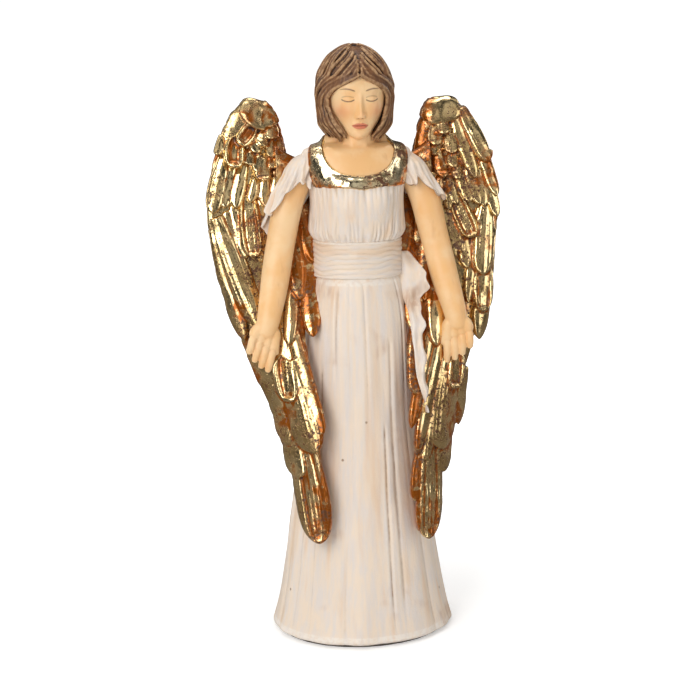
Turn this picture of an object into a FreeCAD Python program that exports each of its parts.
import FreeCAD, Part
import math
import os
import Sketcher
from FreeCAD import Placement, Rotation, Vector

# Resin angel figurine with gilded wings. Millimetres, +Z up, the front faces -Y.
# The origin is the centre of the flat base, and the two sides mirror each other across X = 0.
# +X is the figure's left side.

doc = FreeCAD.newDocument("angel_figurine")
sheet = doc.addObject("Spreadsheet::Sheet", "Sizes")

# Every size that can be set by itself: name and value in millimetres, degrees or a plain count.
SIZES = {
    "pad_thickness": 0.6,
    "pad_inset": 0.9,
    # Gown, from the hem up. Each level has its height above the pad, its width and its depth.
    "hem_width": 32.4,
    "hem_depth": 27.6,
    "ankle_height": 4.5,
    "ankle_width": 30.0,
    "ankle_depth": 25.6,
    "knee_height": 14.5,
    "knee_width": 26.6,
    "knee_depth": 22.6,
    "thigh_height": 27.5,
    "thigh_width": 22.8,
    "thigh_depth": 19.4,
    "hip_height": 53.5,
    "hip_width": 18.8,
    "hip_depth": 15.6,
    "skirt_height": 63.2,
    "waist_width": 15.0,
    "waist_depth": 12.6,
    "sash_height": 5.9,
    "sash_proud": 0.35,
    "sash_waisting": 0.4,
    # Bodice levels are heights above the sash.
    "bust_rise": 7.0,
    "bust_width": 16.2,
    "bust_depth": 14.4,
    "armpit_rise": 10.8,
    "armpit_width": 17.6,
    "armpit_depth": 12.6,
    "shoulder_rise": 14.6,
    "shoulder_width": 19.0,
    "shoulder_depth": 9.4,
    "bodice_height": 16.4,
    "bodice_top_width": 13.0,
    "bodice_top_depth": 6.6,
    # Neckline: an ellipse square to a line that leans forward, and the gilded band round it.
    "neckline_width": 14.6,
    "neckline_depth": 10.4,
    "neckline_slope": 30.0,
    "neckline_forward": 1.9,
    "neckline_drop": 2.9,
    "neckline_cut": 3.5,
    "collar_side_band": 1.8,
    "collar_front_band": 1.2,
    "collar_thickness": 0.7,
    "neck_diameter": 6.2,
    "neck_length": 7.0,
    "neck_root": 2.0,
    # Head and hair.
    "head_width": 10.4,
    "head_depth": 12.0,
    "head_height": 14.0,
    "head_forward": 1.0,
    "head_clear_of_shoulder": 1.0,
    "hair_thickness": 1.5,
    "hair_back_shift": 1.2,
    "bob_width": 13.4,
    "bob_depth": 9.6,
    "bob_height": 9.0,
    "bob_back_shift": 1.8,
    "bob_drop": 2.6,
    "hairline_side_lap": 1.0,
    "hairline_forward": 1.5,
    "parting_height": 4.6,
    # Arms hang a little away from the body, and the hands rest on the wings.
    "arm_top_above_armpit": 1.5,
    "arm_top_reach": 10.6,
    "arm_top_back": 0.2,
    "upper_arm_diameter": 4.7,
    "elbow_drop": 14.5,
    "elbow_reach": 13.8,
    "elbow_diameter": 4.0,
    "elbow_forward": 1.2,
    "forearm_swell": 0.2,
    "forearm_flatness": 0.4,
    "forearm_forward": 0.7,
    "wrist_drop": 27.0,
    "wrist_reach": 16.6,
    "wrist_forward": 5.4,
    "wrist_diameter": 2.7,
    "wrist_flatness": 0.5,
    "hand_length": 5.4,
    "hand_width": 5.0,
    "hand_thickness": 2.0,
    "finger_length": 3.9,
    "finger_diameter": 1.15,
    "palm_out": 0.3,
    "palm_rise": 1.2,
    "finger_fan": 6.0,
    "finger_end_step": 0.3,
    "thumb_lean": 24.0,
    "sleeve_length": 9.4,
    "sleeve_width": 8.0,
    "sleeve_depth": 8.6,
    "sleeve_flare": 14.0,
    "sleeve_back": 0.6,
    "sleeve_rise": 0.2,
    # Mantle that falls behind the left hip.
    "mantle_drop": 26.0,
    "mantle_width": 7.6,
    "mantle_thickness": 2.4,
    "mantle_back": 2.8,
    "mantle_above_sash_base": 3.0,
    # Wings. The blade is the core, and the feathers stand proud of it.
    "blade_thickness": 2.3,
    "feather_relief": 0.8,
    "tenon_diameter": 3.2,
    "tenon_length": 4.2,
    "tenon_clearance": 0.1,
    "tenon_drop": 7.0,
    "tenon_back": 3.9,
    "tenon_root": 4.0,
}

# Wing levels from the tips up: height above the base plane, how far the blade's centre stands
# out and forward of the figure's axis, the blade's chord, and how far the chord turns about Z.
WING_LEVELS = {
    "tip": (21.4, 9.6, 9.4, 4.4, 38.0),
    "foot": (28.0, 10.0, 8.6, 7.4, 42.0),
    "calf": (38.0, 11.5, 6.8, 9.8, 38.0),
    "hand": (51.0, 14.8, 3.4, 11.8, 22.0),
    "elbow": (64.0, 17.0, -0.6, 15.2, 4.0),
    "breast": (75.5, 17.4, -3.4, 16.6, -3.0),
    "shoulder": (84.5, 17.4, -5.6, 13.0, -3.0),
    "dome": (91.0, 16.8, -7.2, 8.0, -3.0),
    "crown": (93.4, 16.4, -7.8, 3.2, -3.0),
}

row = 0


def store(name, value):
    global row
    row += 1
    sheet.set(f"A{row}", name)
    sheet.set(f"B{row}", str(value))
    sheet.setAlias(f"B{row}", name)


for name, value in SIZES.items():
    store(name, value)
for level, values in WING_LEVELS.items():
    for measure, value in zip(("height", "out", "forward", "chord", "turn"), values):
        store(f"wing_{level}_{measure}", value)
doc.recompute()


def size(name):
    return float(sheet.get(name))


def cell(name):
    return f"Sizes.{name}"


def bind(item, **links):
    # Ties properties to the sheet: a double underscore in a name stands for a dot.
    for target, expression in links.items():
        item.setExpression(target.replace("__", "."), expression)
    return item


def add(kind, name, **links):
    return bind(doc.addObject(kind, name), **links)


def place(item, x="0", y="0", z="0"):
    return bind(item, Placement__Base__x=x, Placement__Base__y=y, Placement__Base__z=z)


def turn(item, axis, angle):
    item.Placement = Placement(item.Placement.Base, Rotation(axis, angle))
    return item


def boolean(kind, name, base, tool):
    result = doc.addObject(kind, name)
    result.Base = base
    result.Tool = tool
    return result


def cut(name, base, *tools):
    for number, tool in enumerate(tools):
        last = number == len(tools) - 1
        base = boolean("Part::Cut", name if last else f"{name}_less_{number}", base, tool)
    return base


def fuse(name, *shapes):
    result = doc.addObject("Part::MultiFuse", name)
    result.Shapes = list(shapes)
    return result


# Heights, as expressions, from the base plane up.
PAD_TOP = cell("pad_thickness")
SASH_BASE = f"({PAD_TOP} + {cell('skirt_height')})"
BODICE_BASE = f"({SASH_BASE} + {cell('sash_height')})"
SHOULDER_TOP = f"({BODICE_BASE} + {cell('bodice_height')})"
ARM_TOP = f"({BODICE_BASE} + {cell('armpit_rise')} + {cell('arm_top_above_armpit')})"
HEAD_CENTRE = f"({SHOULDER_TOP} + {cell('head_clear_of_shoulder')} + {cell('head_height')} / 2)"


def plane(body, role):
    return next(item for item in body.Origin.OriginFeatures if item.Role == role)


def worked_out(expression):
    return float(sheet.evalExpression(expression))


def ellipse_sketch(body, name, width, depth, height):
    # A level ellipse at a height above the base plane. Its long axis lies along X or Y.
    wide = worked_out(width) >= worked_out(depth)
    long_end, short_end = (Vector(3, 0, 0), Vector(0, 2, 0)) if wide else (Vector(0, 3, 0), Vector(2, 0, 0))
    sketch = body.newObject("Sketcher::SketchObject", name)
    sketch.AttachmentSupport = (plane(body, "XY_Plane"), [""])
    sketch.MapMode = "FlatFace"
    sketch.addGeometry(Part.Ellipse(long_end, short_end, Vector(0, 0, 0)))
    sketch.exposeInternalGeometry(0)
    sketch.addConstraint(Sketcher.Constraint("Coincident", 0, 3, -1, 1))
    sketch.addConstraint(Sketcher.Constraint("Horizontal" if wide else "Vertical", 1))
    for line, label, length in ((1, "long", width if wide else depth), (2, "short", depth if wide else width)):
        index = sketch.addConstraint(Sketcher.Constraint("Distance", line, 6.0 / line))
        sketch.renameConstraint(index, label)
        sketch.setExpression(f"Constraints.{label}", length)
    sketch.setExpression("AttachmentOffset.Base.z", height)
    return sketch


def lofted_body(name, levels):
    # A body lofted through level ellipses: each level is a width, a depth and a height.
    body = doc.addObject("PartDesign::Body", name)
    sketches = [ellipse_sketch(body, f"{name}_level_{number}", *level)
                for number, level in enumerate(levels)]
    loft = body.newObject("PartDesign::AdditiveLoft", f"{name}_loft")
    loft.Profile = sketches[0]
    loft.Sections = sketches[1:]
    return body


def ellipsoid(name, width, depth, height):
    # Radius1 lies along Z, Radius2 along X and Radius3 along Y.
    item = add("Part::Ellipsoid", name,
               Radius1=f"({height}) / 2", Radius2=f"({width}) / 2", Radius3=f"({depth}) / 2")
    item.Angle1 = -90
    item.Angle2 = 90
    return item


def level_ring(name, width, depth, x, y, z, angle="0"):
    # A level ellipse at a point, the section of a limb or of a wing blade. Angle turns it about Z.
    wide = worked_out(width) >= worked_out(depth)
    ring = add("Part::Ellipse", name, MajorRadius=f"({width if wide else depth}) / 2",
               MinorRadius=f"({depth if wide else width}) / 2")
    turn(ring, Vector(0, 0, 1), 1)
    bind(ring, Placement__Rotation__Angle=angle if wide else f"{angle} + 90")
    return place(ring, x=x, y=y, z=z)


def mirrored(name, source):
    item = doc.addObject("Part::Mirroring", name)
    item.Source = source
    item.Normal = Vector(1, 0, 0)
    return item


# ---- Base pad and gown ----

pad = doc.addObject("PartDesign::Body", "felt_base_pad")
pad_outline = ellipse_sketch(pad, "pad_outline", f"{cell('hem_width')} - 2 * {cell('pad_inset')}",
                             f"{cell('hem_depth')} - 2 * {cell('pad_inset')}", "0")
pad_layer = pad.newObject("PartDesign::Pad", "pad_layer")
pad_layer.Profile = pad_outline
pad_layer.setExpression("Length", PAD_TOP)

skirt_levels = [(cell("hem_width"), cell("hem_depth"), PAD_TOP)]
for level in ("ankle", "knee", "thigh", "hip"):
    skirt_levels.append((cell(f"{level}_width"), cell(f"{level}_depth"),
                         f"{PAD_TOP} + {cell(level + '_height')}"))
skirt_levels.append((cell("waist_width"), cell("waist_depth"), SASH_BASE))
skirt = lofted_body("gown_skirt", skirt_levels)

sash_width = f"{cell('waist_width')} + 2 * {cell('sash_proud')}"
sash_depth = f"{cell('waist_depth')} + 2 * {cell('sash_proud')}"
waisted = f"- {cell('sash_waisting')}"
sash = lofted_body("waist_sash", [
    (sash_width, sash_depth, SASH_BASE),
    (f"{sash_width} {waisted}", f"{sash_depth} {waisted}", f"{SASH_BASE} + {cell('sash_height')} / 2"),
    (f"{sash_width} {waisted}", f"{sash_depth} {waisted}", BODICE_BASE),
])

bodice_levels = [(f"{cell('waist_width')} {waisted}", f"{cell('waist_depth')} {waisted}", BODICE_BASE)]
for level in ("bust", "armpit", "shoulder"):
    bodice_levels.append((cell(f"{level}_width"), cell(f"{level}_depth"),
                          f"{BODICE_BASE} + {cell(level + '_rise')}"))
bodice_levels.append((cell("bodice_top_width"), cell("bodice_top_depth"), SHOULDER_TOP))
bodice_form = lofted_body("bodice_form", bodice_levels)

# ---- Neckline, neck and collar ----


def neckline(name, side_band, front_band):
    # A leaning elliptical plug on the neckline's line, grown sideways and lengthways by a band.
    outline = level_ring(f"{name}_outline", f"{cell('neckline_width')} + 2 * {side_band}",
                         f"{cell('neckline_depth')} + 2 * {front_band}",
                         "0", f"-{cell('neckline_forward')}", f"{SHOULDER_TOP} - {cell('neckline_drop')}")
    turn(outline, Vector(1, 0, 0), size("neckline_slope"))
    bind(outline, Placement__Rotation__Angle=cell("neckline_slope"))
    plug = add("Part::Extrusion", name, LengthRev=cell("neckline_cut"),
               LengthFwd=cell("bodice_height"))
    plug.Base = outline
    plug.DirMode = "Normal"
    plug.Solid = True
    return plug


neck_opening = neckline("neck_opening", "0", "0")
band_outline = neckline("band_outline", cell("collar_side_band"), cell("collar_front_band"))
neck_form = add("Part::Cylinder", "neck_form", Radius=f"{cell('neck_diameter')} / 2",
                Height=cell("neck_length"))
place(neck_form, z=f"{SHOULDER_TOP} - {cell('neck_root')}")
skin_form = fuse("neck_and_chest_form", neck_form,
                 boolean("Part::Common", "chest_form", bodice_form, neck_opening))

cover_levels = [(f"{width} + 2 * {cell('collar_thickness')}", f"{depth} + 2 * {cell('collar_thickness')}",
                 height) for width, depth, height in bodice_levels]
cover_levels[-1] = (*cover_levels[-1][:2], f"{SHOULDER_TOP} + {cell('collar_thickness')}")
bodice_cover = lofted_body("bodice_cover", cover_levels)
band_on_cover = boolean("Part::Common", "band_on_cover", bodice_cover, band_outline)
collar = cut("collar_piece", band_on_cover, neck_opening, bodice_form, neck_form)

# ---- Head and hair ----

skull = place(ellipsoid("skull", cell("head_width"), cell("head_depth"), cell("head_height")),
              y=f"-{cell('head_forward')}", z=HEAD_CENTRE)

hair_cap = place(ellipsoid("hair_cap", f"{cell('head_width')} + 2 * {cell('hair_thickness')}",
                           f"{cell('head_depth')} + 2 * {cell('hair_thickness')}",
                           f"{cell('head_height')} + {cell('hair_thickness')}"),
                 y=cell("hair_back_shift"), z=f"{HEAD_CENTRE} + {cell('hair_thickness')} / 2")
hair_bob = place(ellipsoid("hair_bob", cell("bob_width"), cell("bob_depth"), cell("bob_height")),
                 y=cell("bob_back_shift"), z=f"{HEAD_CENTRE} - {cell('bob_drop')}")
hair_form = fuse("hair_form", hair_cap, hair_bob)
face_half = f"({cell('head_width')} / 2 - {cell('hairline_side_lap')})"
window_height = f"({HEAD_CENTRE} + {cell('parting_height')} - {cell('head_width')} / 2)"
face_window = add("Part::Cylinder", "face_window", Radius=face_half, Height=cell("head_depth"))
turn(face_window, Vector(1, 0, 0), 90)
place(face_window, y=f"-{cell('hairline_forward')}", z=window_height)
jaw_window = add("Part::Box", "jaw_window", Length=f"2 * {face_half}",
                 Width=cell("head_depth"), Height=cell("head_height"))
place(jaw_window, x=f"-{face_half}", y=f"-{cell('hairline_forward')} - {cell('head_depth')}",
      z=f"{window_height} - {cell('head_height')}")

# ---- Arms and sleeves, made for the left side (+X) and mirrored ----


def lofted(name, rings):
    item = doc.addObject("Part::Loft", name)
    item.Sections = rings
    item.Solid = True
    return item


def limb(name, stations):
    return lofted(name, [level_ring(f"{name}_{number}", width, depth, x, y, z)
                         for number, (width, depth, x, y, z) in enumerate(stations)])


upper = cell("upper_arm_diameter")
elbow = cell("elbow_diameter")
wrist = cell("wrist_diameter")
wrist_height = f"({ARM_TOP} - {cell('wrist_drop')})"
elbow_height = f"({ARM_TOP} - {cell('elbow_drop')})"
forearm = f"({wrist} + {elbow}) / 2 + {cell('forearm_swell')}"
arm_form = limb("arm_form", [
    (f"{wrist} + {cell('wrist_flatness')}", wrist, cell("wrist_reach"), f"-{cell('wrist_forward')}",
     wrist_height),
    (f"{forearm} + {cell('forearm_flatness')}", forearm,
     f"({cell('wrist_reach')} + {cell('elbow_reach')}) / 2",
     f"-{cell('wrist_forward')} / 2 - {cell('forearm_forward')}", f"({wrist_height} + {elbow_height}) / 2"),
    (elbow, elbow, cell("elbow_reach"), f"-{cell('elbow_forward')}", elbow_height),
    (upper, upper, f"({cell('elbow_reach')} + {cell('arm_top_reach')}) / 2",
     f"({cell('arm_top_back')} - {cell('elbow_forward')}) / 2", f"({elbow_height} + {ARM_TOP}) / 2"),
    (upper, upper, cell("arm_top_reach"), cell("arm_top_back"), ARM_TOP),
])
palm_across = f"({cell('wrist_reach')} + {cell('palm_out')})"
hand_plane = f"-({cell('wrist_forward')} + {cell('palm_out')})"
palm = place(ellipsoid("palm", cell("hand_width"), cell("hand_thickness"), cell("hand_length")),
             x=palm_across, y=hand_plane,
             z=f"{wrist_height} - {cell('hand_length')} / 2 + {cell('palm_rise')}")
fingers = []
for number, spread in enumerate((-1.5, -0.5, 0.5, 1.5)):
    shorter = f"{abs(spread)} * {cell('finger_end_step')}"
    finger = ellipsoid(f"finger_{number}", cell("finger_diameter"), cell("finger_diameter"),
                       f"{cell('finger_length')} - {shorter}")
    turn(finger, Vector(0, 1, 0), -spread * size("finger_fan"))
    fingers.append(place(finger, x=f"{palm_across} + {spread} * {cell('finger_diameter')}", y=hand_plane,
                         z=f"{wrist_height} - {cell('hand_length')} + {shorter}"))
thumb = ellipsoid("thumb", cell("finger_diameter"), cell("finger_diameter"), cell("finger_length"))
turn(thumb, Vector(0, 1, 0), size("thumb_lean"))
place(thumb, x=f"{palm_across} - {cell('hand_width')} / 2", y=hand_plane,
      z=f"{wrist_height} - {cell('hand_length')} / 2")
limb_form = fuse("limb_form", arm_form, palm, thumb, *fingers)

sleeve_cap = ellipsoid("sleeve_cap", cell("sleeve_width"), cell("sleeve_depth"), f"2 * {cell('sleeve_length')}")
SLEEVE_MOUTH_LEAN = -12
turn(sleeve_cap, Vector(0, -1, 0), 1)
bind(sleeve_cap, Placement__Rotation__Angle=f"-{cell('sleeve_flare')}")
place(sleeve_cap, x=cell("arm_top_reach"), y=cell("sleeve_back"),
      z=f"{SHOULDER_TOP} - {cell('sleeve_length')} + {cell('sleeve_rise')}")
SPACE_BELOW = 40  # a side of the box that opens the sleeve's mouth, clear of the arm all round
sleeve_opening = add("Part::Box", "sleeve_opening", Length=str(SPACE_BELOW), Width=str(SPACE_BELOW),
                     Height=str(SPACE_BELOW))
turn(sleeve_opening, Vector(0, 1, 0), SLEEVE_MOUTH_LEAN)
place(sleeve_opening, y=f"-{SPACE_BELOW} / 2",
      z=f"{SHOULDER_TOP} - {cell('sleeve_length')} - {SPACE_BELOW} - 1")

# ---- Wings, made for the left side (+X) and mirrored ----


def wing_ring(name, level, grow):
    # The blade's section at one level, grown outwards by the feathers' relief where asked.
    thickness = f"{cell('blade_thickness')} + 2 * {grow}"
    chord = f"{cell(f'wing_{level}_chord')} + 2 * {grow}"
    height = cell(f"wing_{level}_height")
    if level == "tip":
        height = f"{height} - {grow}"
    if level == "crown":
        height = f"{height} + {grow}"
    return level_ring(name, chord, thickness, cell(f"wing_{level}_out"),
                      f"-{cell(f'wing_{level}_forward')}", height, cell(f"wing_{level}_turn"))


def blade(name, grow):
    return lofted(name, [wing_ring(f"{name}_{level}", level, grow) for level in WING_LEVELS])


blade_form = blade("blade_form", "0")
feather_layer = blade("feather_layer", cell("feather_relief"))

tenon_height = f"{SHOULDER_TOP} - {cell('tenon_drop')}"


def tenon(name, clearance):
    # The round peg that seats a wing in the back of the bodice, or its socket.
    peg = add("Part::Cylinder", name, Radius=f"{cell('tenon_diameter')} / 2 + {clearance}",
              Height=f"{cell('tenon_length')} + {cell('tenon_root')} + 2 * {clearance}")
    turn(peg, Vector(0, 1, 0), 90)
    return place(peg, x=f"{cell('armpit_width')} / 2 - {cell('tenon_length')} - {clearance}",
                 y=cell("tenon_back"), z=tenon_height)


peg = tenon("wing_peg", "0")
socket = tenon("wing_socket", cell("tenon_clearance"))

# Feathers in rows: how many, first and last centre (out, up), lengths, widths and leans.
FEATHER_ROWS = {
    "coverts": [
        (1, (16.6, 90.6), (16.6, 90.6), (9.0, 9.0), (9.0, 9.0), (0, 0)),
        (3, (14.0, 87.6), (20.6, 87.2), (5.0, 5.4), (3.8, 4.4), (-10, 14)),
        (4, (13.4, 84.2), (22.4, 83.6), (5.2, 6.0), (3.6, 4.2), (-8, 12)),
        (4, (13.4, 80.8), (23.4, 80.6), (5.6, 7.0), (3.8, 4.4), (-6, 10)),
    ],
    "secondaries": [
        (5, (13.6, 74.6), (24.2, 74.6), (12.0, 15.0), (4.2, 4.6), (-4, 6)),
    ],
    "primaries": [
        (4, (12.4, 63.0), (23.4, 64.0), (20.0, 22.0), (4.6, 4.6), (-8, -10)),
        (3, (11.6, 48.0), (18.6, 48.0), (19.0, 19.0), (4.8, 5.0), (-12, -22)),
        (3, (9.0, 35.0), (14.6, 38.0), (17.0, 15.0), (4.6, 4.4), (-14, -20)),
        (1, (9.6, 29.0), (9.6, 29.0), (19.0, 19.0), (5.0, 5.0), (-8, -8)),
    ],
}


def between(first, last, share):
    return first + (last - first) * share


def feather_rows(tier):
    # One elliptical prism along Y for each feather, seen from the front.
    prisms = []
    for number, (count, first, last, lengths, widths, leans) in enumerate(FEATHER_ROWS[tier]):
        for index in range(count):
            share = index / max(count - 1, 1)
            outline = doc.addObject("Part::Ellipse", f"{tier}_outline_{number}_{index}")
            outline.MajorRadius = between(*lengths, share) / 2
            outline.MinorRadius = between(*widths, share) / 2
            stand = Rotation(Vector(0, 1, 0), -90 + between(*leans, share))
            lay = Rotation(Vector(1, 0, 0), 90)
            outline.Placement = Placement(
                Vector(between(first[0], last[0], share), -25, between(first[1], last[1], share)),
                stand.multiply(lay))
            prism = doc.addObject("Part::Extrusion", f"{tier}_prism_{number}_{index}")
            prism.Base = outline
            prism.DirMode = "Custom"
            prism.Dir = Vector(0, 1, 0)
            prism.LengthFwd = 50
            prism.Solid = True
            prisms.append(prism)
    return fuse(f"{tier}_outlines", *prisms)


outlines = {tier: feather_rows(tier) for tier in FEATHER_ROWS}
tier_forms = {}
above = []
for tier, outline in outlines.items():
    layer = boolean("Part::Common", f"{tier}_layer", feather_layer, outline)
    tier_forms[tier] = cut(f"{tier}_form", layer, blade_form, *above)
    above.append(outline)

# ---- Mantle behind the left hip ----

mantle_top = f"({SASH_BASE} + {cell('mantle_above_sash_base')})"
# From the foot up: share of the full width and thickness, gap to the gown, share of the drop, turn.
mantle_levels = [
    (0.45, 0.6, f"{cell('hip_width')} / 2 + 1.2", 1.0, "70"),
    (0.7, 1.0, f"{cell('hip_width')} / 2 + 1.0", 0.5, "40"),
    (1.0, 1.0, f"{cell('waist_width')} / 2 + 2.2", 0.2, "25"),
    (0.3, 0.7, f"{cell('waist_width')} / 2 + 0.3", 0.0, "25"),
]
mantle_form = lofted("mantle_form", [
    level_ring(f"mantle_{number}", f"{cell('mantle_width')} * {wide}", f"{cell('mantle_thickness')} * {thick}",
               out, cell("mantle_back"), f"{mantle_top} - {cell('mantle_drop')} * {drop}", angle)
    for number, (wide, thick, out, drop, angle) in enumerate(mantle_levels)
])

# ---- Finished pieces: each gives way to the neighbours that it seats on ----

left_blade = fuse("left_blade_and_peg", blade_form, peg)
right_socket = mirrored("right_wing_socket", socket)
bodice = cut("bodice_piece", bodice_form, neck_opening, neck_form, socket, right_socket)
neck = cut("neck_piece", skin_form, skull, socket, right_socket)
hair = cut("hair_piece", hair_form, skull, face_window, jaw_window, skin_form, bodice_form, bodice_cover)
left_arm = cut("arm_piece", limb_form, bodice_cover, feather_layer, peg)
left_sleeve = cut("sleeve_piece", sleeve_cap, sleeve_opening, limb_form, bodice_cover,
                  feather_layer, peg)
mantle = cut("mantle_piece", mantle_form, skirt, sash, bodice_form, feather_layer, limb_form)

LEFT_PIECES = {
    "arm": left_arm,
    "sleeve": left_sleeve,
    "wing": left_blade,
    "wing_coverts": tier_forms["coverts"],
    "wing_secondaries": tier_forms["secondaries"],
    "wing_primaries": tier_forms["primaries"],
}

pieces = {
    "felt_base_pad": pad,
    "gown_skirt": skirt,
    "waist_sash": sash,
    "gown_bodice": bodice,
    "neckline_collar": collar,
    "neck_and_shoulders": neck,
    "head": skull,
    "hair": hair,
    "back_mantle": mantle,
}
for part_name, item in LEFT_PIECES.items():
    pieces[f"left_{part_name}"] = item
    pieces[f"right_{part_name}"] = mirrored(f"right_{part_name}_copy", item)

doc.recompute()
for node, item in pieces.items():
    item.Label = node

# ---- Checks and export ----

for item in doc.Objects:
    if "Invalid" in item.State or "Error" in item.State:
        raise RuntimeError(f"{item.Label} did not compute: {item.State}")
os.makedirs("parts", exist_ok=True)
for node, item in pieces.items():
    shape = item.Shape
    if shape.isNull() or not shape.isValid():
        raise RuntimeError(f"{node} has no valid shape")
    shape.exportStep(f"parts/{node}.step")
    box = shape.BoundBox
    print(f"{node}: {len(shape.Solids)} solid(s), {shape.Volume:.1f} mm3, z {box.ZMin:.1f} to {box.ZMax:.1f}")
